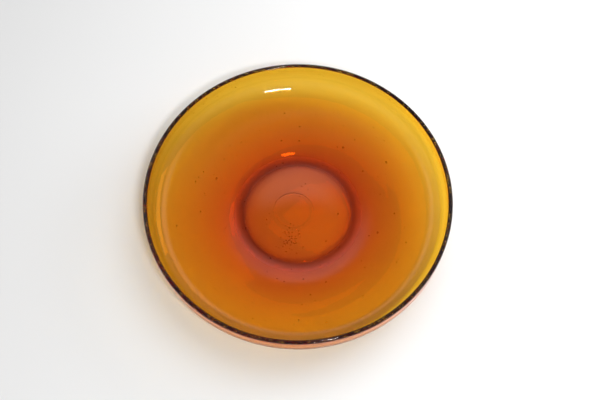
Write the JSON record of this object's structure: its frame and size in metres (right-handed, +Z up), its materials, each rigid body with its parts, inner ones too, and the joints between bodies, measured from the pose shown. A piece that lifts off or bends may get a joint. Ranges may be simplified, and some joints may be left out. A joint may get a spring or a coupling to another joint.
{
  "type": "glass bowl",
  "caption": "Wide, shallow one-piece bowl of hand-blown amber glass with an upright rounded lip, a raised centre and a ground pontil mark.",
  "frame": {"origin": "centre of the ring the bowl stands on, at the height of the surface below it", "axes": "+Z up along the bowl's axis; the pontil mark lies off the axis towards -X"},
  "size_m": [0.255, 0.255, 0.04],
  "materials": {
    "amber_glass": "glossy fire-polished amber glass with small seed bubbles"
  },
  "bodies": {
    "root": {"bowl": "amber_glass"}
  },
  "joints": []
}
